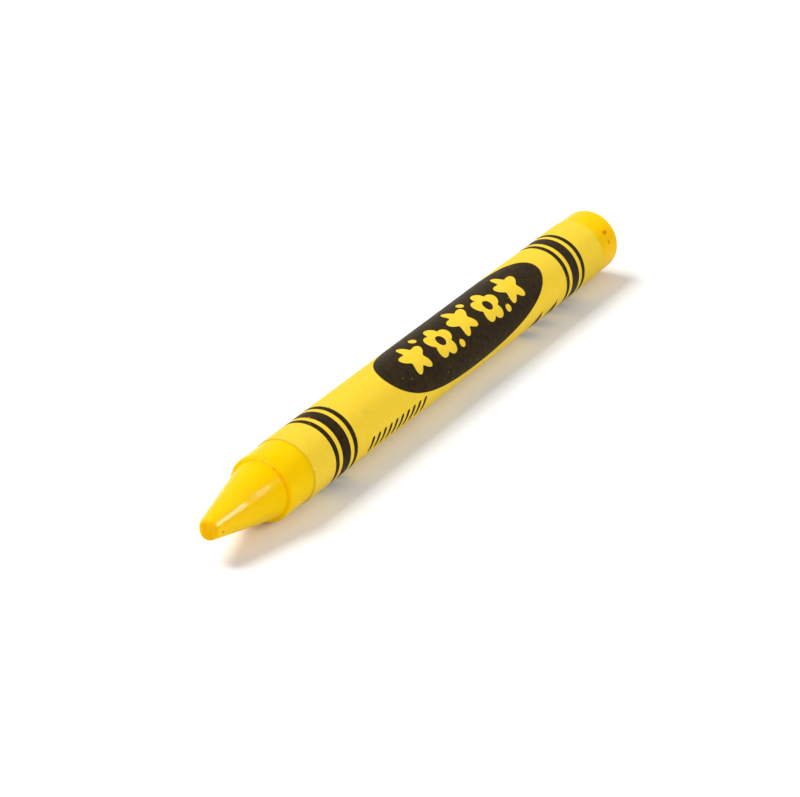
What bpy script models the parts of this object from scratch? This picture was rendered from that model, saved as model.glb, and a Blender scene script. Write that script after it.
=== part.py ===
"""Wax crayon: a moulded wax stick with a paper label pasted round it, lying on its side along X."""

import math

import bmesh
import bpy

# Wax stick, in millimetres
NOSE_DIAMETER = 2.28  # blunt end of the cone
NOSE_ROUNDING = 0.48
CONE_LENGTH = 10.85
CONE_BASE_DIAMETER = 6.88  # where the cone meets the ledge
WAX_DIAMETER = 7.70
FRONT_WAX_LENGTH = 4.95  # bare straight wax between the ledge and the label
REAR_WAX_LENGTH = 4.5  # bare straight wax behind the label
BUTT_ROUNDING = 0.5

# Label and its paste, in millimetres
LABEL_LENGTH = 69.7
PAPER_THICKNESS = 0.05
PASTE_THICKNESS = 0.012
PASTE_MARGIN = 0.5  # bare paper along each end of the label
LAYER_GAP = 0.008  # between wax, paste and paper
LABEL_TURNS = 1.93
LAP_ANGLE = 80.0  # degrees from straight down to the label's inner edge, on the +Y side
LAP_RAMP_ANGLE = 30.0  # degrees over which a turn climbs onto the one below

# Facets of every round piece, which line up so that the thin layers nest
FACETS = 36
ARC_STEPS = 5

MM = 0.001
OVERALL_LENGTH = CONE_LENGTH + FRONT_WAX_LENGTH + LABEL_LENGTH + REAR_WAX_LENGTH
LABEL_FRONT = CONE_LENGTH + FRONT_WAX_LENGTH  # from the nose
WAX_RADIUS = WAX_DIAMETER / 2
PASTE_RADIUS = WAX_RADIUS + LAYER_GAP  # inner face of the paste's first turn
PAPER_RADIUS = PASTE_RADIUS + PASTE_THICKNESS + LAYER_GAP  # inner face of the paper's first turn
LAYER_PITCH = PAPER_THICKNESS + PASTE_THICKNESS + 2 * LAYER_GAP
FACET_ANGLE = 2 * math.pi / FACETS


def clear_scene():
    for obj in list(bpy.data.objects):
        bpy.data.objects.remove(obj, do_unlink=True)


def make_material(name, colour, roughness):
    material = bpy.data.materials.new(name)
    material.use_nodes = True
    shader = material.node_tree.nodes["Principled BSDF"]
    shader.inputs["Base Color"].default_value = (*colour, 1.0)
    shader.inputs["Roughness"].default_value = roughness
    shader.inputs["Metallic"].default_value = 0.0
    return material


def make_polyline(name, points):
    """A mesh of edges through the points, which are in millimetres."""
    mesh = bpy.data.meshes.new(name)
    edges = [(i, i + 1) for i in range(len(points) - 1)]
    mesh.from_pydata([[value * MM for value in point] for point in points], edges, [])
    return mesh


def arc(centre, radius, first, last):
    """Points of an arc in the plane of radius and height, between two angles in degrees."""
    angles = [math.radians(first + (last - first) * i / ARC_STEPS) for i in range(ARC_STEPS + 1)]
    return [(centre[0] + radius * math.cos(a), centre[1] + radius * math.sin(a)) for a in angles]


def wax_profile():
    """The stick's outer side as (radius, height) points, from the butt at the top to the nose at 0."""
    ledge_rounding = (WAX_DIAMETER - CONE_BASE_DIAMETER) / 2
    nose_radius = NOSE_DIAMETER / 2
    cone_slope = math.atan2(CONE_BASE_DIAMETER / 2 - nose_radius, CONE_LENGTH)
    butt_centre = (WAX_RADIUS - BUTT_ROUNDING, OVERALL_LENGTH - BUTT_ROUNDING)
    ledge_centre = (WAX_RADIUS - ledge_rounding, CONE_LENGTH + ledge_rounding)
    # the nose's fillet touches both the flat end and the cone's side
    nose_reach = NOSE_ROUNDING * math.tan((math.pi / 2 - cone_slope) / 2)
    nose_centre = (nose_radius - nose_reach, NOSE_ROUNDING)
    profile = [(0.0, OVERALL_LENGTH)]
    profile += arc(butt_centre, BUTT_ROUNDING, 90, 0)
    profile += arc(ledge_centre, ledge_rounding, 0, -90)
    profile += arc(nose_centre, NOSE_ROUNDING, -math.degrees(cone_slope), -90)
    profile.append((0.0, 0.0))
    return profile


def make_wax_stick(material):
    points = [(radius, 0.0, height) for radius, height in wax_profile()]
    stick = bpy.data.objects.new("wax_stick", make_polyline("wax_stick", points))
    stick.data.materials.append(material)
    turn = stick.modifiers.new("Turn", "SCREW")
    turn.axis = "Z"
    turn.steps = FACETS
    turn.render_steps = FACETS
    turn.use_merge_vertices = True
    turn.merge_threshold = 0.000001
    turn.use_smooth_shade = True
    return stick


def layer_at(angle):
    """How many layers up the wrap is: each turn lies flat, then climbs over the edge it started from."""
    turns, into_turn = divmod(angle, 2 * math.pi)
    ramp = math.radians(LAP_RAMP_ANGLE)
    climb = max(0.0, (into_turn - (2 * math.pi - ramp)) / ramp)
    return turns + climb * climb * (3 - 2 * climb)


def make_wrap(name, material, first_radius, thickness, length):
    """A sheet rolled round the stick, its inner face at first_radius on the first turn."""
    start = round(math.radians(LAP_ANGLE) / FACET_ANGLE) * FACET_ANGLE
    points = []
    for i in range(round(LABEL_TURNS * FACETS) + 1):
        angle = i * FACET_ANGLE
        radius = first_radius + LAYER_PITCH * layer_at(angle)
        points.append((radius * math.cos(start + angle), radius * math.sin(start + angle), 0.0))
    mesh = make_polyline(name, points)
    sheet = bmesh.new()
    sheet.from_mesh(mesh)
    drawn = bmesh.ops.extrude_edge_only(sheet, edges=sheet.edges[:])
    moved = [item for item in drawn["geom"] if isinstance(item, bmesh.types.BMVert)]
    bmesh.ops.translate(sheet, verts=moved, vec=(0.0, 0.0, length * MM))
    sheet.to_mesh(mesh)
    sheet.free()
    mesh.shade_smooth()
    wrap = bpy.data.objects.new(name, mesh)
    wrap.data.materials.append(material)
    wall = wrap.modifiers.new("Wall", "SOLIDIFY")
    wall.thickness = thickness * MM
    wall.offset = -1.0
    wall.use_even_offset = True
    wrap.location.z = (LABEL_FRONT + LABEL_LENGTH / 2 - length / 2) * MM
    return wrap


def build():
    clear_scene()
    collection = bpy.data.collections.new("crayon")
    bpy.context.scene.collection.children.link(collection)

    # The pieces are made upright on their noses, and this empty lays them down with the nose at -X.
    axis = bpy.data.objects.new("crayon_axis", None)
    outer_facet = (PAPER_RADIUS + LAYER_PITCH) * math.cos(FACET_ANGLE / 2) + PAPER_THICKNESS
    axis.location = (-OVERALL_LENGTH / 2 * MM, 0.0, outer_facet * MM)
    axis.rotation_euler = (0.0, math.pi / 2, 0.0)
    collection.objects.link(axis)

    wax = make_material("yellow_wax", (1.0, 0.62, 0.0), 0.38)
    paste = make_material("dried_paste", (0.80, 0.72, 0.50), 0.60)
    paper = make_material("yellow_label_paper", (0.96, 0.72, 0.06), 0.70)
    pieces = [
        make_wax_stick(wax),
        make_wrap("label_paste", paste, PASTE_RADIUS, PASTE_THICKNESS, LABEL_LENGTH - 2 * PASTE_MARGIN),
        make_wrap("paper_label", paper, PAPER_RADIUS, PAPER_THICKNESS, LABEL_LENGTH),
    ]
    for piece in pieces:
        # half a facet, so that the crayon lies on a flat and not on a corner
        piece.rotation_euler.z = FACET_ANGLE / 2
        piece.parent = axis
        collection.objects.link(piece)


build()
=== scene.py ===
"""Dresses the wax crayon: a moulded stick, a printed paper label rolled round it and its paste.

Lengths are in millimetres until a mesh is made. Angles round the stick start straight up and grow
towards -Y, the side that the camera sees.
"""

import math

import bpy
import numpy as np
from mathutils import Matrix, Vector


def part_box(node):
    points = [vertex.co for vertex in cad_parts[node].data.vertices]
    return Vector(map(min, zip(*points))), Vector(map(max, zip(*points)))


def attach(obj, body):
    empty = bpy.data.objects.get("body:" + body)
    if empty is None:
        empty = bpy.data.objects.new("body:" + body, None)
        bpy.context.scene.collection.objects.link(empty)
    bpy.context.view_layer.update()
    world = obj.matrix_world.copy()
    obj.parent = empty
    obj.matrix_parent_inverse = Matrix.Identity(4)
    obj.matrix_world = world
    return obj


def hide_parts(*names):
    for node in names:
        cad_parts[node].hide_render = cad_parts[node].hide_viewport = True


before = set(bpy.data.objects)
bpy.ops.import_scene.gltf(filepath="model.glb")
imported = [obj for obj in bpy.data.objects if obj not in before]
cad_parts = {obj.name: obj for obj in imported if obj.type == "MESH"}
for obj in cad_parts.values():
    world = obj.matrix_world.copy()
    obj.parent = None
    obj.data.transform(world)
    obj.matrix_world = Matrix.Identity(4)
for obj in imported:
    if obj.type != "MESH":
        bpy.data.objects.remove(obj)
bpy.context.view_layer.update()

MM = 0.001
TURN = 2 * math.pi

# Where the solids lie
wax_low, wax_high = (np.array(corner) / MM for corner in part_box("wax_stick"))
paste_low, paste_high = (np.array(corner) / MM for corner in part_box("label_paste"))
paper_low, paper_high = (np.array(corner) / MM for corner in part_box("paper_label"))
AXIS_HEIGHT = (wax_low[2] + wax_high[2]) / 2
NOSE_END = wax_low[0]
BUTT_END = wax_high[0]
LABEL_FRONT = paper_low[0]
LABEL_LENGTH = paper_high[0] - paper_low[0]
LABEL_RADIUS = AXIS_HEIGHT - paper_low[2]

# Label and paste, which are pressed closer together than the solids
PAPER_THICKNESS = 0.042
PASTE_THICKNESS = 0.004
LAYER_GAP = 0.002
LAYER_PITCH = PAPER_THICKNESS + PASTE_THICKNESS + 2 * LAYER_GAP
WAX_RADIUS = LABEL_RADIUS - 2 * LAYER_PITCH
PASTE_RADIUS = WAX_RADIUS + LAYER_GAP
PAPER_RADIUS = PASTE_RADIUS + PASTE_THICKNESS + LAYER_GAP
LAP_START = math.radians(265.0)  # the label's inner edge
WRAP_ANGLE = math.radians(690.0)  # from the inner edge to the outer one
LAP_RAMP = math.radians(11.0)  # how quickly a turn climbs over the inner edge
WRAP_CREEP = 0.10  # how far each turn shifts along the stick
COCKLE_HEIGHT = 0.005
COCKLE_WAVELENGTHS = (6.0, 16.0)
END_GAPE = 0.012
END_GAPE_REACH = 0.8
END_GAPE_WAVELENGTHS = (2.5, 9.0)
OUTER_EDGE_LIFT = 0.05
OUTER_EDGE_REACH = math.radians(3)
UNEVEN_ENDS = 0.03
UNEVEN_REACH = 1.2
UNEVEN_WAVELENGTHS = (2.0, 10.0)
NICK_DIRECTION = math.radians(73.0)
NICK_DEPTH = 0.28
NICK_HALF_WIDTH = 0.13
NICK_REACH = 0.25

# Wax stick
NOSE_RADIUS = 1.14
NOSE_ROUNDING = 0.48
NOSE_HOLLOW = 0.03
CONE_LENGTH = 10.85
CONE_BASE_RADIUS = 3.44
CONE_BARREL = 0.03  # how far the cone's side bows outwards
CREASE_ROUNDING = 0.06
LEDGE_ROUNDING = 0.32
BUTT_ROUNDING = 0.5
BUTT_HOLLOW = 0.12

# Relief of the wax
MOULD_WAVE_HEIGHT = 0.006
MOULD_WAVELENGTHS = (5.0, 12.0)
FINE_WAVE_HEIGHT = 0.0018
FINE_WAVELENGTHS = (0.9, 2.2)
RING_HEIGHT = 0.004
RING_PITCH = 3.3
SECOND_RING_PITCH = 1.9
RING_FADE = 1.5
RING_LEDGE_GAP = 0.6
FLASH_WAVELENGTHS = (0.6, 2.6)
FLASH_HEIGHT = 0.055  # the most that it fills of the crease
FLASH_HALF_LENGTH = 0.10
FLASH_HALF_DEPTH = 0.12
FLASH_RISE = 0.05  # of its middle over the cone's base
PIT_COUNT = 60
PIT_DEPTHS = (0.003, 0.012)
PIT_REACHES = (0.10, 0.28)
FRONT_PITS = (0.8, CONE_LENGTH + 5)
REAR_PITS = (84.5, 89.5)
RELIEF_GAP = 0.05  # smooth wax beside the label
RELIEF_FADE = 0.4
POLE_FADE = 0.6
# distance from the nose, direction in degrees, depth and reach
WAX_DENTS = (
    (6.80, 55, 0.027, 0.75),
    (5.80, 45, 0.080, 0.36),
    (5.70, 45, -0.020, 0.80),  # a swelling
    (0.20, -95, 0.120, 0.80),  # the nose's worn far rim
)
# direction in degrees and depth
LEDGE_CHIPS = ((11, 0.06), (-3, 0.04), (32, 0.05), (-32, 0.05), (205, 0.08), (290, 0.07))
CHIP_REACH = 0.20
CHIP_PLACE = CONE_LENGTH + 0.1

# Print on the label, measured from its front edge and from the oval's centre line
FRONT_BANDS = ((4.43, 5.22), (5.92, 7.69), (8.41, 9.21))
REAR_BANDS = ((59.89, 60.68), (61.42, 63.20), (63.93, 64.71))
OVAL_CENTRE = 37.57
OVAL_HALF_LENGTH = 18.48
OVAL_HALF_HEIGHT = 5.79
OVAL_DIRECTION = math.radians(25.9)
MOTIF_PITCH = 5.7
MOTIF_REACH = 2  # motifs on each side of the middle one
MOTIF_SWAY = 0.35
MOTIF_TILT = 0.16
STAR_SIZE = 1.9
FLOWER_SIZE = 2.4
FLOWER_EYE = 0.72
DOT_SIZE = 0.5
DOT_RISE = 2.0
HATCH_RUN = (11.88, 25.08)  # whole strokes
HATCH_LINE = 5.55
HATCH_HALF_HEIGHT = 0.95
HATCH_HALF_WIDTH = 0.31
HATCH_PITCH = 1.32
HATCH_SLANT = 0.32
DIAMOND_PLACES = (52.8, 56.7)
DIAMOND_LINE = 7.55
DIAMOND_HALF_LENGTH = 2.4
DIAMOND_HALF_WIDTH = 1.4
DIAMOND_LEAN = math.radians(65)  # from the crayon's length
PRINT_EDGE = 0.03
PRINT_RAGGED = 0.07

# Grids of the pieces
ARC_POINTS = 12
WAX_COLUMNS = 256
WAX_SPACING = 0.13
HIDDEN_SPACING = 3.0  # under the label
HIDDEN_MARGIN = 1.5  # fine wax under each end of the label
WAX_SHARP_ANGLE = math.radians(60)
SHEET_SHARP_ANGLE = math.radians(35)
LABEL_WINDS = 296
RAMP_WINDS = 12
NICK_WINDS = 15
LABEL_STATIONS = 62
END_STATIONS = (0, 0.06, 0.13, 0.22, 0.33, 0.47, 0.65, 0.9, 1.25, 1.7)
END_STRETCH = 2.2
OUTER_EDGE_WINDS = (0.3, 0.8, 1.5, 3.0, 5.0)  # degrees before the outer edge
FILM_WINDS = 240
FILM_STATIONS = 30

# Shares of the bake
BAKE_MARGIN = 0.005
HIDDEN_WAX_BAKE = 0.02
INNER_TURN_BAKE = 0.08
INNER_TURN_MARGIN = 0.2
OUTER_FACE_BAKE = (0.005, 0.900)
INNER_FACE_BAKE = (0.915, 0.955)
FRONT_EDGE_BAKE = 0.965
FIRST_EDGE_BAKE = (0.972, 0.980)
LAST_EDGE_BAKE = (0.985, 0.993)

# Colours of the wax
WAX_DEEP = (0.985, 0.563, 0.0)
WAX_BRIGHT = (1.0, 0.594, 0.0)
WAX_PORES = (1.0, 0.65, 0.0)
WAX_SCRATCHES = (1.0, 0.68, 0.05)
WAX_GRIME = (0.70, 0.36, 0.0)
# worn streaks at the nose together with painted shade on its flat end
NOSE_WEAR_AND_SHADE = (0.78, 0.41, 0.0)
# painted shade on the ledge's upper half and painted light along the crease's top
LEDGE_PAINTED_SHADE = (0.95, 0.49, 0.0)
CREASE_PAINTED_LIGHT = (1.0, 0.70, 0.02)
# painted shade beside the label's edges and low down on the butt
LABEL_FRONT_PAINTED_SHADE = (0.97, 0.46, 0.0)
BUTT_LOW_PAINTED_SHADE = (0.90, 0.515, 0.0)
LABEL_REAR_PAINTED_SHADE = (0.80, 0.51, 0.0)
# distance from the nose, direction in degrees, distance from the axis, size and colour
WAX_FLECKS = (
    (1.12, 100, 1.42, 0.24, (0.25, 0.28, 0.07)),
    (87.48, 52, WAX_RADIUS, 0.42, (0.90, 0.13, 0.0)),
    (87.90, 52, WAX_RADIUS, 0.30, (0.42, 0.15, 0.0)),
    (87.67, 71, WAX_RADIUS, 0.30, (0.62, 0.14, 0.0)),
    (86.4, 215, WAX_RADIUS, 0.20, (0.05, 0.14, 0.45)),
    (12.6, 250, WAX_RADIUS, 0.22, (0.62, 0.05, 0.03)),
    (8.2, 300, 2.9, 0.14, (0.06, 0.25, 0.15)),
    (CONE_LENGTH + 0.12, 11, WAX_RADIUS - 0.20, 0.14, (1.0, 0.78, 0.22)),
    (CONE_LENGTH + 0.12, -3, WAX_RADIUS - 0.20, 0.12, (1.0, 0.78, 0.18)),
    (CONE_LENGTH + 0.05, 32, CONE_BASE_RADIUS + 0.12, 0.14, (0.72, 0.36, 0.0)),
)

# Colours of the label and its paste
PAPER_DEEP = (0.885, 0.590, 0.018)
PAPER_PALE = (0.925, 0.652, 0.058)
PAPER_SMUDGES = (0.86, 0.58, 0.05)
PAPER_SCRATCHES = (0.74, 0.52, 0.06)
# painted shade low on the label's rear
PAPER_LOW_REAR_PAINTED_SHADE = (0.74, 0.52, 0.03)
GREEN_DIRT = (0.34, 0.36, 0.08)
BROWN_DIRT = (0.42, 0.24, 0.05)
INK_BLACK = (0.005, 0.001, 0.0)
INK_BROWN = (0.029, 0.013, 0.0)
# the cut edge's colour, with painted light on top and painted shade at the sides
CUT_EDGE_PAINTED_LIGHT = (1.0, 0.78, 0.12)
CUT_EDGE_PAINTED_SHADE = (0.94, 0.51, 0.0)
PASTE_DEEP = (0.70, 0.60, 0.38)
PASTE_PALE = (0.86, 0.80, 0.60)
PASTE_BRUSH_MARKS = (0.55, 0.46, 0.28)
# distance from the label's front edge, direction in degrees, size, strength and colour
LABEL_FLECKS = (
    (0.20, 72, 0.17, 0.50, (0.95, 0.88, 0.72)),
    (6.05, -5, 0.22, 0.85, (0.72, 0.035, 0.05)),
    (9.25, 4, 0.17, 0.75, (0.02, 0.22, 0.22)),
    (3.77, 17, 0.13, 0.40, (0.22, 0.45, 0.25)),
    (1.66, 32, 0.13, 0.40, (0.40, 0.50, 0.10)),
    (1.34, -25, 0.30, 0.35, (0.30, 0.55, 0.35)),
    (12.7, 48, 0.55, 0.16, (0.45, 0.36, 0.05)),
    (13.4, 53, 0.30, 0.14, (0.45, 0.36, 0.05)),
    (67.25, 56, 0.22, 0.20, (0.40, 0.32, 0.06)),
    (67.20, 62, 0.24, 0.22, (0.40, 0.32, 0.06)),
)

# Camera: what the photograph's frame shows of the label's front edge
FRAME_WIDTH = 800
FRAME_HEIGHT = 797
LABEL_FRONT_PIXEL = (283.59, 472.49)
LABEL_FRONT_DEPTH = 400.0
CAMERA_ELEVATION = math.radians(25.35)
CAMERA_HEADING = math.radians(-60.84)
LENS = 166.5
SENSOR = 36.0

# Floor, with its lengths in metres
FLOOR_HALF_WIDTH = 6.0
FLOOR_LIT_REACH = 0.3
WHITE = (1.0, 1.0, 1.0)
FLOOR_BOUNCE = (0.72, 0.72, 0.72)


def unit(vector):
    """The vector at a length of 1."""
    return np.asarray(vector, float) / np.linalg.norm(vector)


def smooth_step(value):
    """0 below 0, 1 above 1 and 3v^2 - 2v^3 between."""
    value = np.clip(value, 0, 1)
    return value * value * (3 - 2 * value)


def turned_from(angle, origin):
    """The angle from origin, between minus half a turn and half a turn."""
    return (angle - origin + math.pi) % TURN - math.pi


def waves(along, around, wavelengths, count, seed):
    """Cosine waves of random heading and phase, added up to about -1 to 1.

    Each has a whole number of crests round the stick, so that the sum closes on itself.
    """
    draw = np.random.default_rng(seed)
    total = np.zeros(np.broadcast(along, around).shape)
    for _ in range(count):
        wavelength = draw.uniform(*wavelengths)
        heading = draw.uniform(0, math.pi)
        phase = draw.uniform(0, TURN)
        crests = round(TURN * WAX_RADIUS * math.sin(heading) / wavelength)
        total += np.cos(TURN * math.cos(heading) / wavelength * along + crests * around + phase)
    return total / math.sqrt(2 * count)


def dimple(along, around, out, place, direction, reach):
    """exp(-(d / reach)^2), where d is the distance over the surface from the dimple's middle."""
    across = turned_from(around, direction) * out
    return np.exp(-((along - place) ** 2 + across**2) / reach**2)


def rounded_profile(corners, roundings):
    """Points (along, out) of straight runs whose inner corners give way to arcs.

    A corner of half angle a and rounding r takes the arc that touches both runs r / tan(a) from
    the corner, centred r / sin(a) along the bisector.
    """
    points = [corners[:1]]
    for before, corner, after, rounding in zip(corners, corners[1:], corners[2:], roundings):
        to_before = unit(before - corner)
        to_after = unit(after - corner)
        half = math.acos(np.dot(to_before, to_after)) / 2
        centre = corner + unit(to_before + to_after) * rounding / math.sin(half)
        start = corner + to_before * rounding / math.tan(half) - centre
        end = corner + to_after * rounding / math.tan(half) - centre
        first = math.atan2(start[1], start[0])
        sweep = turned_from(math.atan2(end[1], end[0]), first)
        angles = first + sweep * np.linspace(0, 1, ARC_POINTS)
        points.append(centre + rounding * np.column_stack([np.cos(angles), np.sin(angles)]))
    points.append(corners[-1:])
    return np.concatenate(points)


def filled_in(profile, spacing_at):
    """The profile with points added on its long runs, no further apart than spacing_at(along)."""
    before, after = profile[:-1], profile[1:]
    lengths = np.hypot(*(after - before).T)
    shares = [
        np.linspace(0, 1, max(1, math.ceil(length / spacing_at(middle))), endpoint=False)
        for length, middle in zip(lengths, (before + after)[:, 0] / 2)
    ]
    runs = [a + share[:, None] * (b - a) for a, b, share in zip(before, after, shares)]
    return np.concatenate([*runs, profile[-1:]])


def corner_map(row_values, column_values):
    """Two coordinates for the corners of a grid's faces, in the order that grid_faces gives them."""
    row, column = np.meshgrid(
        np.arange(len(row_values) - 1), np.arange(len(column_values) - 1), indexing="ij"
    )
    rows = np.stack([row, row + 1, row + 1, row], -1).reshape(-1, 4)
    columns = np.stack([column, column, column + 1, column + 1], -1).reshape(-1, 4)
    return np.stack([np.asarray(row_values)[rows], np.asarray(column_values)[columns]], -1)


def cap_map(first, second, pole, rim):
    """Two coordinates for the corners of a cap's triangles: its pole and two points of its rim."""
    corners = (((first + second) / 2, pole), (first, rim), (second, rim))
    return np.stack([np.column_stack([turn, np.full(len(turn), at)]) for turn, at in corners], 1)


def grid_faces(rows, columns):
    """Faces of a grid whose columns close on themselves, with rows crossed with columns outside."""
    row, column = np.meshgrid(np.arange(rows - 1), np.arange(columns), indexing="ij")
    next_column = (column + 1) % columns
    corners = [(row, column), (row + 1, column), (row + 1, next_column), (row, next_column)]
    return np.stack([r * columns + c for r, c in corners], -1).reshape(-1, 4)


def make_piece(name, points, faces, maps, sharp_angle, material, node):
    """Puts arrays into a mesh object that rides on the root body and stands for a CAD node."""
    mesh = bpy.data.meshes.new(name)
    mesh.from_pydata((points * MM).tolist(), [], [face for group in faces for face in group.tolist()])
    for map_name, corners in maps.items():
        layer = mesh.uv_layers.new(name=map_name)
        flat = np.concatenate([group.reshape(-1, 2) for group in corners])
        layer.uv.foreach_set("vector", flat.astype(np.float32).ravel())
    mesh.shade_smooth()
    mesh.set_sharp_from_angle(angle=sharp_angle)
    mesh.materials.append(material)
    piece = bpy.data.objects.new(name, mesh)
    bpy.context.scene.collection.objects.link(piece)
    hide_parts(node)
    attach(piece, "root")
    return piece


def on_axis(along, out, around):
    """Points at a distance along the stick from x = 0 and out from its axis, in the frame's axes."""
    along, out, around = np.broadcast_arrays(along, out, around)
    return np.stack([along, -out * np.sin(around), AXIS_HEIGHT + out * np.cos(around)], -1)


def wax_relief(along, out, around):
    """How far the moulded surface stands off its profile.

    Added up: the cone's bow, soft waves of the mould, rings on the cone, broad dents, lumps of
    flash in the crease, small pits and chips on the ledge.
    """
    share = np.clip(along / CONE_LENGTH, 0, 1)
    relief = CONE_BARREL * 4 * share * (1 - share)
    relief += MOULD_WAVE_HEIGHT * waves(along, around, MOULD_WAVELENGTHS, 7, seed=11)
    relief += FINE_WAVE_HEIGHT * waves(along, around, FINE_WAVELENGTHS, 12, seed=12)

    off_nose = smooth_step((along - NOSE_ROUNDING) / RING_FADE)
    off_ledge = smooth_step((CONE_LENGTH - RING_LEDGE_GAP - along) / RING_FADE)
    rings = np.cos(TURN * along / RING_PITCH + 0.7 * np.cos(around - 0.6))
    rings = rings + 0.6 * np.cos(TURN * along / SECOND_RING_PITCH + 1.0)
    relief += RING_HEIGHT * (off_nose * off_ledge) * rings
    for place, direction, depth, reach in WAX_DENTS:
        relief -= depth * dimple(along, around, out, place, math.radians(direction), reach)

    flash = np.clip(waves(np.zeros_like(along), around, FLASH_WAVELENGTHS, 9, seed=13), 0, None)
    off_middle = ((along - CONE_LENGTH) / FLASH_HALF_LENGTH) ** 2
    off_middle += ((out - CONE_BASE_RADIUS - FLASH_RISE) / FLASH_HALF_DEPTH) ** 2
    off_top = np.abs(turned_from(around, math.radians(-10)))
    upper = smooth_step((math.radians(50) - off_top) / math.radians(30))
    lumps = np.minimum(0.015 + 0.035 * flash + 0.04 * upper, FLASH_HEIGHT)
    relief += lumps * np.exp(-off_middle)

    draw = np.random.default_rng(14)
    for _ in range(PIT_COUNT):
        place = draw.choice([draw.uniform(*FRONT_PITS), draw.uniform(*REAR_PITS)])
        depth = draw.uniform(*PIT_DEPTHS)
        direction = draw.uniform(0, TURN)
        reach = draw.uniform(*PIT_REACHES)
        relief -= depth * dimple(along, around, out, place, direction, reach)
    for direction, depth in LEDGE_CHIPS:
        relief -= depth * dimple(along, around, out, CHIP_PLACE, math.radians(direction), CHIP_REACH)

    # the label presses on smooth wax
    from_label = np.abs(along - (LABEL_FRONT - NOSE_END + LABEL_LENGTH / 2)) - LABEL_LENGTH / 2
    return relief * smooth_step((from_label - RELIEF_GAP) / RELIEF_FADE)


def wax_profile():
    """Points (along, out) of the stick's side from nose to butt, and which ones the label hides."""
    length = BUTT_END - NOSE_END
    corners = np.array(
        [
            (0, 0),
            (0, NOSE_RADIUS),
            (CONE_LENGTH, CONE_BASE_RADIUS),
            (CONE_LENGTH, WAX_RADIUS),
            (length, WAX_RADIUS),
            (length, 0),
        ]
    )
    roundings = (NOSE_ROUNDING, CREASE_ROUNDING, LEDGE_ROUNDING, BUTT_ROUNDING)
    label_from = LABEL_FRONT - NOSE_END + HIDDEN_MARGIN
    label_to = label_from + LABEL_LENGTH - 2 * HIDDEN_MARGIN
    profile = rounded_profile(corners, roundings)
    breaks = np.array([(label_from, WAX_RADIUS), (label_to, WAX_RADIUS)])
    straight = np.flatnonzero((profile[:-1, 0] < label_from) & (profile[1:, 0] > label_to))[0] + 1
    profile = np.insert(profile, straight, breaks, axis=0)
    profile = filled_in(
        profile, lambda along: HIDDEN_SPACING if label_from < along < label_to else WAX_SPACING
    )
    hidden = (profile[:, 0] > label_from) & (profile[:, 0] <= label_to)

    # both ends are a little hollow
    along, out = profile.T
    nose_dip = NOSE_HOLLOW * np.clip(1 - (out / (NOSE_RADIUS - NOSE_ROUNDING)) ** 2, 0, 1)
    butt_dip = BUTT_HOLLOW * np.clip(1 - (out / (WAX_RADIUS - BUTT_ROUNDING)) ** 2, 0, 1)
    along += np.where(along < length / 2, nose_dip, -butt_dip)
    return profile, hidden


def wax_skin(material):
    """The stick: a profile turned round its axis, each point moved along its normal by the relief."""
    profile, hidden = wax_profile()
    heading = np.gradient(profile, axis=0)
    heading /= np.hypot(*heading.T)[:, None]
    normal = np.column_stack([-heading[:, 1], heading[:, 0]])
    columns = WAX_COLUMNS
    around = np.arange(columns) * TURN / columns
    rings = profile[1:-1]
    along, out = rings[:, :1], rings[:, 1:]
    relief = wax_relief(along + 0 * around, out + 0 * around, 0 * along + around)
    relief *= smooth_step(out / POLE_FADE)
    skin = on_axis(
        NOSE_END + along + relief * normal[1:-1, :1], out + relief * normal[1:-1, 1:], around
    )
    ends = on_axis(NOSE_END + profile[[0, -1], 0], 0.0, 0.0)
    points = np.concatenate([skin.reshape(-1, 3), ends])

    # along crossed with around points inwards, so the side's faces are turned over
    count = len(rings)
    side = grid_faces(count, columns)[:, ::-1]
    ring = np.arange(columns)
    after = (ring + 1) % columns
    nose_pole = np.full(columns, count * columns)
    last = (count - 1) * columns
    nose = np.column_stack([nose_pole, after, ring])
    butt = np.column_stack([nose_pole + 1, last + ring, last + after])

    # the hidden stretch takes little of the bake
    station = np.concatenate([[0], np.cumsum(np.hypot(*np.diff(profile, axis=0).T))])
    step = np.diff(station) * np.where(hidden[1:], HIDDEN_WAX_BAKE, 1.0)
    share = np.concatenate([[0], np.cumsum(step)])
    share = BAKE_MARGIN + (1 - 2 * BAKE_MARGIN) * share / share[-1]
    turn_share = BAKE_MARGIN + (1 - 2 * BAKE_MARGIN) * np.arange(columns + 1) / columns
    side_map = corner_map(share[1:-1], turn_share)[:, ::-1, ::-1]
    nose_map = cap_map(turn_share[1:], turn_share[:-1], share[0], share[1])
    butt_map = cap_map(turn_share[:-1], turn_share[1:], share[-1], share[-2])
    maps = {"OFBake": (side_map, nose_map, butt_map)}
    return make_piece(
        "wax_skin", points, (side, nose, butt), maps, WAX_SHARP_ANGLE, material, "wax_stick"
    )


def layers_up(wind):
    """Layers below the sheet at a wind angle: whole turns, each with a climb over the inner edge."""
    turns = np.floor(wind / TURN + 1e-9)
    return turns + smooth_step((wind - turns * TURN - (TURN - LAP_RAMP)) / LAP_RAMP)


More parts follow.
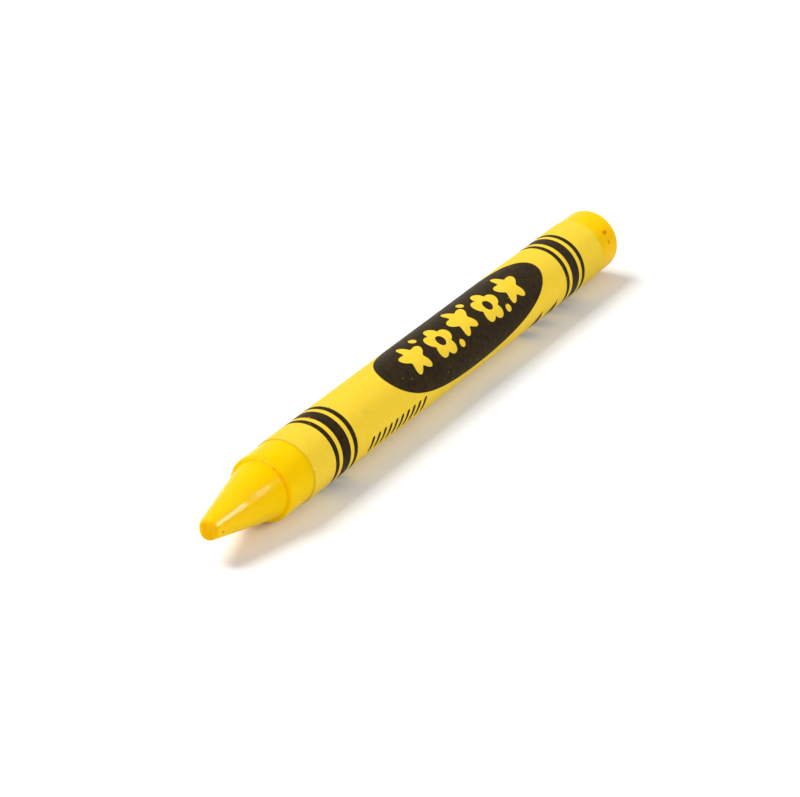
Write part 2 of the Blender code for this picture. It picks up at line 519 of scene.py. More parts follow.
def paper_lift(wind, along):
    """How far the paper stands off the roll: a faint cockle, gaping ends and a raised outer edge."""
    around = LAP_START + wind
    cockle = COCKLE_HEIGHT * (1 + waves(along, around, COCKLE_WAVELENGTHS, 8, seed=21))
    front = np.clip(waves(0 * along, around, END_GAPE_WAVELENGTHS, 5, seed=22), 0, None)
    rear = np.clip(waves(0 * along, around, END_GAPE_WAVELENGTHS, 5, seed=23), 0, None)
    gape = END_GAPE * front * np.exp(-along / END_GAPE_REACH)
    gape += END_GAPE * rear * np.exp(-(LABEL_LENGTH - along) / END_GAPE_REACH)
    outer_edge = OUTER_EDGE_LIFT * np.exp((wind - WRAP_ANGLE) / OUTER_EDGE_REACH)
    outer_edge *= 0.7 + 0.3 * np.cos(along / 7.0)
    clear_of_table = (1 + np.cos(around)) / 2
    return np.clip(cockle + gape + outer_edge, 0, None) * clear_of_table


def paper_creep(wind, along):
    """How far the paper is shifted along the stick: a steady creep, uneven ends and a front nick."""
    around = LAP_START + wind
    creep = WRAP_CREEP * (wind - oval_wind()) / TURN
    from_front = np.exp(-along / UNEVEN_REACH)
    from_rear = np.exp(-(LABEL_LENGTH - along) / UNEVEN_REACH)
    uneven = waves(0 * along, around, UNEVEN_WAVELENGTHS, 6, seed=24) * from_front
    uneven += waves(0 * along, around, UNEVEN_WAVELENGTHS, 6, seed=25) * from_rear
    outer_turn = wind > WRAP_ANGLE - TURN
    across = turned_from(around, NICK_DIRECTION) * LABEL_RADIUS
    nick = NICK_DEPTH * np.exp(-((across / NICK_HALF_WIDTH) ** 2)) * np.exp(-along / NICK_REACH)
    return creep + UNEVEN_ENDS * uneven + nick * outer_turn


def oval_wind():
    """The wind angle of the outer turn at the oval's centre line."""
    return OVAL_DIRECTION + 2 * TURN - LAP_START


def rolled_sheet(
    name, front, length, first_radius, thickness, winds, stations, shaped, material, node
):
    """A sheet wound round the axis, with two faces, cut edges and its print's own map.

    At wind angle w and distance s from its front edge, the inner face is at first_radius + layer
    pitch * layers_up(w) + lift(w, s) from the axis, and the outer face is one thickness further
    out. The section in s is a loop, out along the outer face and back along the inner one, which
    is carried along w.
    """
    wind, along = np.meshgrid(winds, stations, indexing="ij")
    inner = first_radius + LAYER_PITCH * layers_up(wind)
    shift = np.zeros_like(inner)
    if shaped:
        inner = inner + paper_lift(wind, along)
        shift = paper_creep(wind, along)
    around = LAP_START + wind
    outer_face = on_axis(front + along + shift, inner + thickness, around)
    inner_face = on_axis(front + along + shift, inner, around)
    section = np.concatenate([outer_face, inner_face[:, ::-1]], axis=1)
    rows, columns = section.shape[:2]
    points = section.reshape(-1, 3)
    wall = grid_faces(rows, columns)

    outer = np.arange(len(stations))
    inside = columns - 1 - outer
    first_edge = np.column_stack([outer[:-1], outer[1:], inside[1:], inside[:-1]])
    last_edge = first_edge[:, ::-1] + (rows - 1) * columns

    loop = np.concatenate([stations, stations[::-1], stations[:1]])
    printed = (winds - oval_wind()) * LABEL_RADIUS
    print_wall = corner_map(printed, loop)[:, :, ::-1]
    edge_stations = np.column_stack([stations[:-1], stations[1:], stations[1:], stations[:-1]])
    print_first = np.stack([edge_stations, np.full(edge_stations.shape, printed[0])], -1)
    print_last = np.stack([edge_stations[:, ::-1], np.full(edge_stations.shape, printed[-1])], -1)

    # the outer turn's outer face takes most of the bake
    inner_turn_end = winds[-1] - TURN - INNER_TURN_MARGIN
    seen = np.interp(
        winds, (winds[0], inner_turn_end, winds[-1]), (BAKE_MARGIN, INNER_TURN_BAKE, 1 - BAKE_MARGIN)
    )
    share = stations / length
    outer_share = np.interp(share, (0, 1), OUTER_FACE_BAKE)
    inner_share = np.interp(share, (0, 1), INNER_FACE_BAKE)
    bake_wall = corner_map(seen, np.concatenate([outer_share, inner_share, [FRONT_EDGE_BAKE]]))
    edge_share = BAKE_MARGIN + (1 - 2 * BAKE_MARGIN) * edge_stations / length
    first_share = np.broadcast_to(np.repeat(FIRST_EDGE_BAKE, 2), edge_share.shape)
    last_share = np.broadcast_to(np.repeat(LAST_EDGE_BAKE[::-1], 2), edge_share.shape)
    bake_first = np.stack([edge_share, first_share], -1)
    bake_last = np.stack([edge_share[:, ::-1], last_share], -1)
    maps = {
        "OFBake": (bake_wall, bake_first, bake_last),
        "print": (print_wall, print_first, print_last),
    }
    faces = (wall, first_edge, last_edge)
    piece = make_piece(name, points, faces, maps, SHEET_SHARP_ANGLE, material, node)
    cut = np.zeros(sum(len(group) for group in faces), np.float32)
    cut[: len(wall)].reshape(rows - 1, columns)[:, [len(stations) - 1, columns - 1]] = 1
    cut[len(wall) :] = 1
    piece.data.attributes.new("cut_edge", "FLOAT", "FACE").data.foreach_set("value", cut)
    return piece


def put(tree, value, socket):
    """Links a varying value to a socket, or sets a plain one on it."""
    if isinstance(value, Number):
        value = value.socket
    if isinstance(value, bpy.types.NodeSocket):
        tree.links.new(value, socket)
    elif socket.type == "RGBA" and len(value) == 3:
        socket.default_value = (*value, 1.0)
    else:
        socket.default_value = value


def add(tree, kind, inputs, **settings):
    """A new node with its settings and inputs."""
    node = tree.nodes.new(kind)
    for name, value in settings.items():
        setattr(node, name, value)
    for name, value in inputs.items():
        put(tree, value, node.inputs[name])
    return node


class Number:
    """A value that varies over the surface. Arithmetic on it adds Math nodes to its tree."""

    def __init__(self, tree, socket):
        self.tree = tree
        self.socket = socket

    def math(self, operation, *others):
        node = self.tree.nodes.new("ShaderNodeMath")
        node.operation = operation
        for value, socket in zip((self, *others), node.inputs):
            put(self.tree, value, socket)
        return Number(self.tree, node.outputs[0])

    def __add__(self, other):
        return self.math("ADD", other)

    def __sub__(self, other):
        return self.math("SUBTRACT", other)

    def __rsub__(self, other):
        return self.math("MULTIPLY_ADD", -1.0, other)

    def __mul__(self, other):
        return self.math("MULTIPLY", other)

    def __truediv__(self, other):
        return self.math("DIVIDE", other)

    __radd__ = __add__
    __rmul__ = __mul__

    def abs(self):
        return self.math("ABSOLUTE")

    def least(self, other):
        return self.math("MINIMUM", other)

    def most(self, other):
        return self.math("MAXIMUM", other)

    def cos(self):
        return self.math("COSINE")

    def ramp(self, low, high):
        """0 at low, 1 at high and a smooth step between, whichever is the larger."""
        inputs = {"Value": self, "From Min": low, "From Max": high}
        node = add(self.tree, "ShaderNodeMapRange", inputs, interpolation_type="SMOOTHSTEP")
        return Number(self.tree, node.outputs["Result"])


def length_of(across, along):
    """The square root of across^2 + along^2."""
    return (across * across + along * along).math("SQRT")


def mixed(tree, share, first, second):
    """Two colours mixed by a share."""
    node = add(tree, "ShaderNodeMix", {}, data_type="RGBA")
    for index, value in ((0, share), (6, first), (7, second)):
        put(tree, value, node.inputs[index])
    return node.outputs[2]


def noise(tree, vector, scale, detail=2.0, roughness=0.5):
    """Soft random tone, about a middle of 0.5."""
    inputs = {"Vector": vector, "Scale": scale, "Detail": detail, "Roughness": roughness}
    return Number(tree, add(tree, "ShaderNodeTexNoise", inputs).outputs[0])


def scaled(tree, vector, scale):
    """The vector times a scale on each axis."""
    return add(tree, "ShaderNodeMapping", {"Vector": vector, "Scale": scale}).outputs[0]


def new_group(name, inputs, outputs):
    """An empty node group: inputs are the defaults of its numbers, beside a vector, by name."""
    group = bpy.data.node_groups.new(name, "ShaderNodeTree")
    group.interface.new_socket("Vector", in_out="INPUT", socket_type="NodeSocketVector")
    for socket_name, default in inputs.items():
        socket = group.interface.new_socket(
            socket_name, in_out="INPUT", socket_type="NodeSocketFloat"
        )
        socket.default_value = default
    for socket_name in outputs:
        group.interface.new_socket(socket_name, in_out="OUTPUT", socket_type="NodeSocketFloat")
    return group, group.nodes.new("NodeGroupInput"), group.nodes.new("NodeGroupOutput")


def place_group(tree, group, vector, **inputs):
    """A group's node on a vector, with its numbers."""
    node = tree.nodes.new("ShaderNodeGroup")
    node.node_tree = group
    put(tree, vector, node.inputs["Vector"])
    for name, value in inputs.items():
        put(tree, value, node.inputs[name])
    return node


def mottle_group():
    """Cloudy tone at one size with a finer grain on it, from 0 to 1 about a middle of 0.5."""
    group, given, result = new_group("mottle", {"Scale": 1.0, "Grain": 0.4}, ("Tone", "Height"))
    scale = Number(group, given.outputs["Scale"])
    grain = Number(group, given.outputs["Grain"])
    clouds = noise(group, given.outputs["Vector"], scale, detail=3.0, roughness=0.55)
    fine = noise(group, given.outputs["Vector"], scale * 6.0, roughness=0.6)
    tone = clouds.ramp(0.28, 0.72) * (1.0 - grain) + fine.ramp(0.25, 0.75) * grain
    put(group, tone, result.inputs["Tone"])
    put(group, fine, result.inputs["Height"])
    return group


def scuff_group():
    """Thin broken scratches: noise drawn out one way, kept where a coarser noise is high."""
    group, given, result = new_group("scuffs", {"Scale": 1.0, "Amount": 0.5}, ("Mask",))
    scale = Number(group, given.outputs["Scale"])
    amount = Number(group, given.outputs["Amount"])
    drawn_out = scaled(group, given.outputs["Vector"], (0.12, 1.0, 1.0))
    lines = noise(group, drawn_out, scale * 4.0, detail=3.0, roughness=0.6)
    patches = noise(group, given.outputs["Vector"], scale * 0.45, detail=1.0)
    thin = (lines - 0.5).abs().ramp(0.035, 0.0)
    mask = thin * patches.ramp(0.66 - 0.3 * amount, 0.82 - 0.3 * amount)
    put(group, mask, result.inputs["Mask"])
    return group


def speck_group():
    """Scattered round specks: the middles of a share of random cells, each of random tint."""
    group, given, result = new_group(
        "specks", {"Scale": 1.0, "Share": 0.1, "Size": 0.2}, ("Mask", "Tint")
    )
    scale = Number(group, given.outputs["Scale"])
    inputs = {"Vector": given.outputs["Vector"], "Scale": scale, "Randomness": 1.0}
    cells = add(group, "ShaderNodeTexVoronoi", inputs)
    parts = add(group, "ShaderNodeSeparateColor", {"Color": cells.outputs["Color"]})
    chance = Number(group, parts.outputs["Red"])
    size = Number(group, given.outputs["Size"]) * (0.5 + Number(group, parts.outputs["Green"]))
    wobble = noise(group, given.outputs["Vector"], scale * 3.0) - 0.5
    reach = Number(group, cells.outputs["Distance"]) + wobble * 0.12
    kept = chance.math("LESS_THAN", Number(group, given.outputs["Share"]))
    put(group, kept * reach.ramp(size, size * 0.6), result.inputs["Mask"])
    put(group, parts.outputs["Blue"], result.inputs["Tint"])
    return group


def new_material(name):
    """A material, its tree, its shader and its surface coordinates in millimetres."""
    material = bpy.data.materials.new(name)
    material.use_nodes = True
    tree = material.node_tree
    coordinates = tree.nodes.new("ShaderNodeTexCoord")
    place = scaled(tree, coordinates.outputs["Object"], (1 / MM,) * 3)
    return material, tree, tree.nodes["Principled BSDF"], place


def spot(tree, place, along, direction, out, size):
    """A ragged dot of a given radius on the surface, as a mask."""
    centre = on_axis(np.array(along), np.array(out), np.array(math.radians(direction)))
    away = add(tree, "ShaderNodeVectorMath", {0: place, 1: tuple(centre)}, operation="DISTANCE")
    ragged = noise(tree, place, 1.6 / size) - 0.5
    return (Number(tree, away.outputs["Value"]) + ragged * size).ramp(size, 0.45 * size)


def yellow_wax(groups):
    """Moulded wax: deep yellow, cloudy, with paler pores, scuffs, a worn nose, flecks, painted shade
    and painted light.
    """
    material, tree, shader, place = new_material("yellow_wax")
    cloud = place_group(tree, groups["mottle"], place, Scale=0.35, Grain=0.35)
    pores = place_group(tree, groups["mottle"], place, Scale=2.6, Grain=0.6)
    scuff = place_group(tree, groups["scuffs"], place, Scale=0.8, Amount=0.35)
    specks = place_group(tree, groups["specks"], place, Scale=0.9, Share=0.10, Size=0.10)
    tone = Number(tree, cloud.outputs["Tone"])
    pore = Number(tree, pores.outputs["Tone"])
    scratch = Number(tree, scuff.outputs["Mask"])
    grime = Number(tree, specks.outputs["Mask"])
    colour = mixed(tree, tone, WAX_DEEP, WAX_BRIGHT)
    colour = mixed(tree, pore.ramp(0.55, 1.0) * 0.20, colour, WAX_PORES)
    colour = mixed(tree, scratch * 0.15, colour, WAX_SCRATCHES)
    colour = mixed(tree, grime * 0.25, colour, WAX_GRIME)

    # the blunt end rubs on paper, which leaves it streaked in a deeper tone, and the same mask paints
    # shade on its flat end
    parts = add(tree, "ShaderNodeSeparateXYZ", {"Vector": place})
    along = Number(tree, parts.outputs["X"])
    height = Number(tree, parts.outputs["Z"]) - AXIS_HEIGHT
    streaks = noise(tree, scaled(tree, place, (1.0, 4.0, 0.5)), 1.0).ramp(0.3, 0.7)
    slanted = along + Number(tree, parts.outputs["Y"]) * 0.2
    nose_wear_and_shade = slanted.ramp(NOSE_END + 0.40, NOSE_END + 0.10) * (0.6 + 0.4 * streaks)
    colour = mixed(tree, nose_wear_and_shade * 0.7, colour, NOSE_WEAR_AND_SHADE)

    # painted shade deepens the ledge's upper half, and painted light brightens the top of the crease
    from_crease = (along - (NOSE_END + CONE_LENGTH)).abs()
    ledge = from_crease.ramp(0.50, 0.15) * height.ramp(0.4, 2.0)
    colour = mixed(tree, ledge * 0.35, colour, LEDGE_PAINTED_SHADE)
    crease_painted_light = from_crease.ramp(0.25, 0.05) * height.ramp(2.6, 3.3)
    colour = mixed(tree, crease_painted_light * 0.4, colour, CREASE_PAINTED_LIGHT)

    # painted shade on the wax beside the label's edges, less of it on top at the front and only low
    # down at the rear, and painted shade on the butt's lower side
    from_front = (LABEL_FRONT - along).abs()
    behind_label = along - (LABEL_FRONT + LABEL_LENGTH)
    off_top = height.ramp(4.0, 2.0)
    colour = mixed(tree, from_front.ramp(0.55, 0.0) * off_top * 0.22, colour, LABEL_FRONT_PAINTED_SHADE)
    low_down = height.ramp(3.1, 1.6)
    colour = mixed(tree, behind_label.ramp(-0.2, 0.2) * low_down, colour, BUTT_LOW_PAINTED_SHADE)
    rear_painted_shade = behind_label.abs().ramp(1.2, 0.1) * low_down
    colour = mixed(tree, rear_painted_shade * 0.6, colour, LABEL_REAR_PAINTED_SHADE)

    for distance, direction, out, size, fleck in WAX_FLECKS:
        mask = spot(tree, place, NOSE_END + distance, direction, out, size)
        colour = mixed(tree, mask * 0.85, colour, fleck)
    put(tree, colour, shader.inputs["Base Color"])

    # the cone has a thin polish, which is gone where it rubs
    polish = along.ramp(NOSE_END + 11.5, NOSE_END + 3.5) * (1.0 - 0.7 * nose_wear_and_shade)
    put(tree, polish * 0.19, shader.inputs["Coat Weight"])
    shader.inputs["Coat Roughness"].default_value = 0.08
    put(tree, 0.21 + 0.05 * pore + 0.15 * scratch + 0.30 * nose_wear_and_shade, shader.inputs["Roughness"])
    shader.inputs["Specular IOR Level"].default_value = 0.02
    shader.inputs["Specular Tint"].default_value = (1.0, 0.97, 0.5, 1.0)
    grain = Number(tree, pores.outputs["Height"]) * 0.5 + tone * 0.5 - scratch * 0.6
    bump = add(tree, "ShaderNodeBump", {"Height": grain, "Strength": 0.06, "Distance": 0.05 * MM})
    put(tree, bump.outputs["Normal"], shader.inputs["Normal"])
    shader.inputs["Subsurface Weight"].default_value = 0.70
    shader.inputs["Subsurface Radius"].default_value = (1.3, 0.55, 0.06)
    shader.inputs["Subsurface Scale"].default_value = 0.9 * MM
    return material


def inked(outside, ragged):
    """1 where a distance outside an outline is below 0, with a soft and ragged edge."""
    return (outside + ragged).ramp(PRINT_EDGE, -PRINT_EDGE)


def outside_run(along, run):
    """Distance along the label outside a run from its start to its end."""
    start, end = run
    return (along - (start + end) / 2).abs() - (end - start) / 2


def outside_bands(along):
    """Distance outside the nearest of the bands that run round the label."""
    bands = [outside_run(along, band) for band in FRONT_BANDS + REAR_BANDS]
    nearest = bands[0]
    for band in bands[1:]:
        nearest = nearest.least(band)
    return nearest


def outside_oval(along, across):
    """Distance outside the oval, true where its short axis ends."""
    reach = length_of(along / OVAL_HALF_LENGTH, across / OVAL_HALF_HEIGHT)
    return (reach - 1.0) * OVAL_HALF_HEIGHT


def outside_motif(along, across):
    """Distance outside a row of stars and flowers with dots between them.

    With r and a the distance and angle from a cell's middle, the outline is r = size * (1 + 0.28
    cos 5a) for a star, and r = size * (0.66 + 0.34 |cos 2.5a|) for a flower, which has a round eye.
    """
    cell = (along / MOTIF_PITCH).math("ROUND").most(-MOTIF_REACH).least(MOTIF_REACH)
    odd = cell.abs().math("MODULO", 2.0)
    swing = (cell * 2.4).cos()
    across_cell = across + swing * MOTIF_SWAY
    along_cell = along - cell * MOTIF_PITCH
    reach = length_of(along_cell, across_cell)
    angle = across_cell.math("ARCTAN2", along_cell) + math.pi / 2 + swing * MOTIF_TILT
    star = reach - ((angle * 5.0).cos() * 0.28 + 1.0) * STAR_SIZE
    petals = reach - ((angle * 2.5).cos().abs() * 0.34 + 0.66) * FLOWER_SIZE
    flower = petals.most(FLOWER_EYE - reach)
    shape = star * (1.0 - odd) + flower * odd
    gap = (along / MOTIF_PITCH).math("FLOOR") + 0.5
    gap = gap.most(0.5 - MOTIF_REACH).least(MOTIF_REACH - 0.5)
    side = (gap * math.pi).math("SINE")
    dot = length_of(along - gap * MOTIF_PITCH, across + side * DOT_RISE) - DOT_SIZE
    return shape.least(dot)


def outside_hatch(along, across):
    """Distance outside a row of short slanted strokes with round ends, below the oval's front."""
    down = across - HATCH_LINE
    slanted = along + down * HATCH_SLANT
    stroke = ((slanted / HATCH_PITCH).math("FRACT") - 0.5) * HATCH_PITCH
    beyond = (down.abs() - (HATCH_HALF_HEIGHT - HATCH_HALF_WIDTH)).most(0.0)
    shape = length_of(stroke, beyond) - HATCH_HALF_WIDTH
    return shape.most(outside_run(slanted, HATCH_RUN))


def outside_diamonds(along, across):
    """How far outside two leaning diamonds, below the oval's rear, a point is.

    Lengthwise and crosswise distances from a middle, each over its half size, add up to 1 on the
    outline.
    """
    cosine = math.cos(DIAMOND_LEAN)
    sine = math.sin(DIAMOND_LEAN)
    down = across - DIAMOND_LINE
    diamonds = []
    for place in DIAMOND_PLACES:
        forward = along - place
        lengthwise = (forward * cosine - down * sine).abs() * (1 / DIAMOND_HALF_LENGTH)
        crosswise = (forward * sine + down * cosine).abs() * (1 / DIAMOND_HALF_WIDTH)
        diamonds.append(lengthwise + crosswise - 1.0)
    return diamonds[0].least(diamonds[1])


def printed_paper(groups):
    """Yellow label paper: fibres, smudges and dirt, one worn dark ink, painted shade low at the rear
    and cut edges painted paler on top and deeper at the sides.
    """
    material, tree, shader, place = new_material("printed_paper")
    label_map = add(tree, "ShaderNodeUVMap", {}, uv_map="print").outputs["UV"]
    parts = add(tree, "ShaderNodeSeparateXYZ", {"Vector": label_map})
    along = Number(tree, parts.outputs["X"])
    across = Number(tree, parts.outputs["Y"])
    place_parts = add(tree, "ShaderNodeSeparateXYZ", {"Vector": place})
    height = Number(tree, place_parts.outputs["Z"]) - AXIS_HEIGHT

    fibre = place_group(tree, groups["mottle"], label_map, Scale=1.1, Grain=0.6)
    smudge = place_group(tree, groups["mottle"], label_map, Scale=0.16, Grain=0.2)
    scuff = place_group(tree, groups["scuffs"], label_map, Scale=0.9, Amount=0.4)
    dust = place_group(tree, groups["specks"], label_map, Scale=1.7, Share=0.22, Size=0.15)
    dirt = place_group(tree, groups["specks"], label_map, Scale=0.55, Share=0.14, Size=0.06)
    tone = Number(tree, fibre.outputs["Tone"])
    cloud = Number(tree, smudge.outputs["Tone"])
    scratch = Number(tree, scuff.outputs["Mask"])
    paper = mixed(tree, tone, PAPER_DEEP, PAPER_PALE)
    paper = mixed(tree, cloud.ramp(0.62, 0.95) * 0.15, paper, PAPER_SMUDGES)
    paper = mixed(tree, scratch * 0.06, paper, PAPER_SCRATCHES)
    # painted shade: the label's rear is darker low down
    paper_rear_shade_mask = along.ramp(56.0, 66.0) * height.ramp(2.2, -0.6)
    paper = mixed(tree, paper_rear_shade_mask * 0.75, paper, PAPER_LOW_REAR_PAINTED_SHADE)
    dirt_kind = Number(tree, dirt.outputs["Tint"]).ramp(0.45, 0.55)
    dirt_tint = mixed(tree, dirt_kind, GREEN_DIRT, BROWN_DIRT)
    paper = mixed(tree, Number(tree, dirt.outputs["Mask"]) * 0.45, paper, dirt_tint)

    # the print, which is worn to the paper in specks and scratches
    ragged = (noise(tree, label_map, 7.0) - 0.5) * PRINT_RAGGED
    from_centre = along - OVAL_CENTRE
    plain = outside_bands(along).least(outside_hatch(along, across))
    plain = plain.least(outside_diamonds(along, across))
    oval = inked(outside_oval(from_centre, across), ragged)
    motif = inked(outside_motif(from_centre, across), ragged)
    printed = inked(plain, ragged).most(oval * (1.0 - motif))
    faint = Number(tree, dust.outputs["Tint"])
    bare = Number(tree, dust.outputs["Mask"]) * (0.05 + 0.30 * faint * faint) + scratch * 0.02
    worn = printed * (1.0 - bare)
    grain = place_group(tree, groups["mottle"], label_map, Scale=1.2, Grain=0.6)
    speckle = Number(tree, grain.outputs["Tone"]).ramp(0.15, 0.85)
    colour = mixed(tree, worn, paper, mixed(tree, speckle, INK_BLACK, INK_BROWN))

    # the cut edges are painted paler on top as painted light and deeper at the sides as painted shade
    cut_edge = add(tree, "ShaderNodeAttribute", {}, attribute_name="cut_edge")
    cut = Number(tree, cut_edge.outputs["Fac"])
    cut_edge_lit_and_shaded = mixed(tree, height.ramp(4.0, 2.0), CUT_EDGE_PAINTED_LIGHT, CUT_EDGE_PAINTED_SHADE)
    colour = mixed(tree, cut * 0.85, colour, cut_edge_lit_and_shaded)
    for distance, direction, size, strength, fleck in LABEL_FLECKS:
        mask = spot(tree, place, LABEL_FRONT + distance, direction, LABEL_RADIUS, size)
        colour = mixed(tree, mask * strength, colour, fleck)
    put(tree, colour, shader.inputs["Base Color"])

    put(tree, 0.72 - 0.20 * worn + 0.10 * tone, shader.inputs["Roughness"])
    surface = Number(tree, fibre.outputs["Height"]) + worn * 0.25 - scratch * 0.3
    bump = add(tree, "ShaderNodeBump", {"Height": surface, "Strength": 0.22, "Distance": 0.03 * MM})
    put(tree, bump.outputs["Normal"], shader.inputs["Normal"])
    shader.inputs["Specular IOR Level"].default_value = 0.03
    shader.inputs["Sheen Weight"].default_value = 0.10
    shader.inputs["Sheen Tint"].default_value = (1.0, 0.95, 0.65, 1.0)
    shader.inputs["Sheen Roughness"].default_value = 0.45
    return material


def dried_paste(groups):
    """Thin starch paste, cloudy, with darker brush marks."""
    material, tree, shader, place = new_material("dried_paste")
    cloud = place_group(tree, groups["mottle"], place, Scale=0.5, Grain=0.4)
    scuff = place_group(tree, groups["scuffs"], place, Scale=0.7, Amount=0.7)
    tone = Number(tree, cloud.outputs["Tone"])
    brushed = Number(tree, scuff.outputs["Mask"])
    colour = mixed(tree, tone, PASTE_DEEP, PASTE_PALE)
    colour = mixed(tree, brushed * 0.5, colour, PASTE_BRUSH_MARKS)
    put(tree, colour, shader.inputs["Base Color"])
    put(tree, 0.45 + 0.25 * tone, shader.inputs["Roughness"])
    bump = add(tree, "ShaderNodeBump", {"Height": tone, "Strength": 0.2, "Distance": 0.01 * MM})
    put(tree, bump.outputs["Normal"], shader.inputs["Normal"])
    return material


def make_label(paper, paste):
    """The printed label and the film of paste under it, both wound from the same inner edge."""
    turns = np.linspace(0, WRAP_ANGLE, LABEL_WINDS)
    ramps = np.linspace(TURN - LAP_RAMP, TURN, RAMP_WINDS)
    edge = WRAP_ANGLE - np.radians(OUTER_EDGE_WINDS)
    nick = NICK_DIRECTION + 2 * TURN - LAP_START + np.radians(np.linspace(-4, 4, NICK_WINDS))
    near_end = np.array(END_STATIONS)
    middle = np.linspace(END_STRETCH, LABEL_LENGTH - END_STRETCH, LABEL_STATIONS)
    rolled_sheet(
        "printed_label",
        front=LABEL_FRONT,
        length=LABEL_LENGTH,
        first_radius=PAPER_RADIUS,
        thickness=PAPER_THICKNESS,
        winds=np.unique(np.concatenate([turns, ramps, edge, nick]).round(5)),
        stations=np.concatenate([near_end, middle, LABEL_LENGTH - near_end[::-1]]),
        shaped=True,
        material=paper,
        node="paper_label",
    )
    film_length = paste_high[0] - paste_low[0]
    film_turns = np.linspace(0, WRAP_ANGLE, FILM_WINDS)
    rolled_sheet(
        "paste_film",
        front=paste_low[0],
        length=film_length,
        first_radius=PASTE_RADIUS,
        thickness=PASTE_THICKNESS,
        winds=np.unique(np.concatenate([film_turns, ramps]).round(5)),
        stations=np.linspace(0, film_length, FILM_STATIONS),
        shaped=False,
        material=paste,
        node="label_paste",
    )


def backdrop_share(tree):
    """1 on rays from the camera, straight, mirrored or through clear things, 0 on bounced light."""
    path = tree.nodes.new("ShaderNodeLightPath")
    kinds = ("Camera", "Glossy", "Transmission")
    rays = [Number(tree, path.outputs[f"Is {kind} Ray"]) for kind in kinds]
    return rays[0].most(rays[1]).most(rays[2])


def make_floor():
    """A wide sheet, level with the crayon's underside, white in view and darker in its bounce.

    Well away from the crayon it is an even white in view, so that no horizon shows.
    """
    half = FLOOR_HALF_WIDTH
    corners = [(-half, -half, 0), (half, -half, 0), (half, half, 0), (-half, half, 0)]
    mesh = bpy.data.meshes.new("floor")
    mesh.from_pydata(corners, [], [(0, 1, 2, 3)])
    material = bpy.data.materials.new("floor_white")
    material.use_nodes = True
    tree = material.node_tree
    shader = tree.nodes["Principled BSDF"]
    in_view = backdrop_share(tree)
    put(tree, mixed(tree, in_view, FLOOR_BOUNCE, WHITE), shader.inputs["Base Color"])
    shader.inputs["Roughness"].default_value = 0.9
    shader.inputs["Specular IOR Level"].default_value = 0.0
    place = add(tree, "ShaderNodeTexCoord", {}).outputs["Object"]
    away = add(tree, "ShaderNodeVectorMath", {0: place}, operation="LENGTH")
    distance = Number(tree, away.outputs["Value"])
    far_off = distance.ramp(FLOOR_LIT_REACH, 2 * FLOOR_LIT_REACH) * in_view
    even_white = add(tree, "ShaderNodeEmission", {"Color": WHITE, "Strength": 1.0})
    shares = {0: far_off, 1: shader.outputs[0], 2: even_white.outputs[0]}
    whole = add(tree, "ShaderNodeMixShader", shares)
    put(tree, whole.outputs[0], tree.nodes["Material Output"].inputs["Surface"])
    mesh.materials.append(material)
    floor = bpy.data.objects.new("floor", mesh)
    bpy.context.scene.collection.objects.link(floor)


def make_lamp(name, direction, distance, span, depth, level):
    """A softbox facing the crayon, with its lengths in metres.

    Its span runs round the crayon's axis, and its depth across the span. Its level is what it
    adds to the brightness of a white card facing it.
    """
    lamp = bpy.data.lights.new(name, "AREA")
    lamp.shape = "RECTANGLE"
    lamp.size = span
    lamp.size_y = depth
    lamp.energy = level * math.pi**2 * distance**2
    holder = bpy.data.objects.new(name, lamp)
    bpy.context.scene.collection.objects.link(holder)
    towards = unit(direction)
    across = unit(np.cross((1.0, 0.0, 0.0), towards))
    axes = Matrix((across, np.cross(towards, across), towards)).transposed()
    holder.location = towards * distance
    holder.rotation_euler = axes.to_euler()


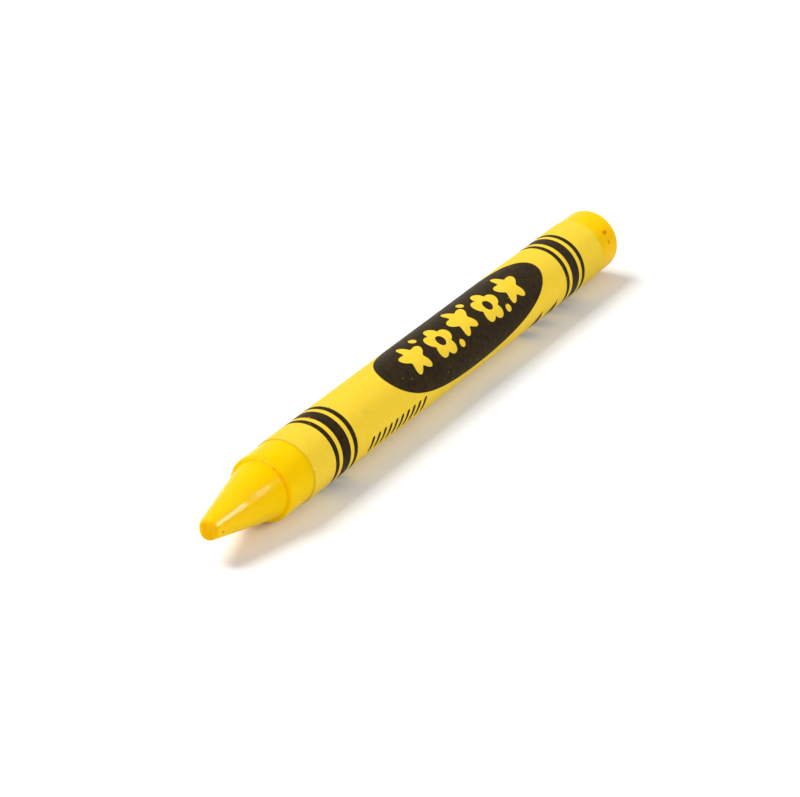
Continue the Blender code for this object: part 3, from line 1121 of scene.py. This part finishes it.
def make_world(level):
    """Even light from all round, at a given level, which is seen as white."""
    world = bpy.data.worlds.new("studio")
    world.use_nodes = True
    tree = world.node_tree
    background = tree.nodes["Background"]
    put(tree, WHITE, background.inputs["Color"])
    put(tree, level + backdrop_share(tree) * (1.0 - level), background.inputs["Strength"])
    bpy.context.scene.world = world


def make_camera():
    """A camera whose frame shows the label's front edge at its pixel and depth."""
    camera = bpy.data.cameras.new("camera")
    camera.lens = LENS
    camera.sensor_width = SENSOR
    holder = bpy.data.objects.new("camera", camera)
    bpy.context.scene.collection.objects.link(holder)
    level = np.array([-math.sin(CAMERA_HEADING), math.cos(CAMERA_HEADING), 0.0])
    right = np.array([math.cos(CAMERA_HEADING), math.sin(CAMERA_HEADING), 0.0])
    forward = level * math.cos(CAMERA_ELEVATION) - np.array([0, 0, math.sin(CAMERA_ELEVATION)])
    up = np.cross(right, forward)
    pixel = SENSOR / LENS / FRAME_WIDTH
    across = (LABEL_FRONT_PIXEL[0] - FRAME_WIDTH / 2) * pixel
    down = (LABEL_FRONT_PIXEL[1] - FRAME_HEIGHT / 2) * pixel
    ray = forward + right * across - up * down
    target = np.array([LABEL_FRONT, 0.0, AXIS_HEIGHT])
    holder.location = (target - ray * LABEL_FRONT_DEPTH) * MM
    holder.rotation_euler = (math.pi / 2 - CAMERA_ELEVATION, 0.0, CAMERA_HEADING)
    bpy.context.scene.camera = holder


groups = {"mottle": mottle_group(), "scuffs": scuff_group(), "specks": speck_group()}
wax_skin(yellow_wax(groups))
make_label(printed_paper(groups), dried_paste(groups))

make_floor()
make_lamp("key_softbox", (-0.12, 0.57, 0.813), distance=2.0, span=1.0, depth=1.0, level=0.875)
make_lamp("strip_softbox", (0.37, -0.778, 0.505), distance=1.2, span=0.46, depth=0.10, level=0.325)
make_lamp("front_fill", (-0.95, -0.05, 0.25), distance=1.5, span=0.7, depth=0.5, level=0.19)
make_lamp("low_fill", (-0.40, -0.91, 0.05), distance=1.5, span=1.0, depth=1.0, level=0.28)
make_lamp("butt_fill", (0.999, 0.02, 0.03), distance=1.5, span=0.7, depth=0.5, level=0.22)
make_world(level=0.309)
make_camera()
bpy.context.scene.view_settings.view_transform = "Standard"
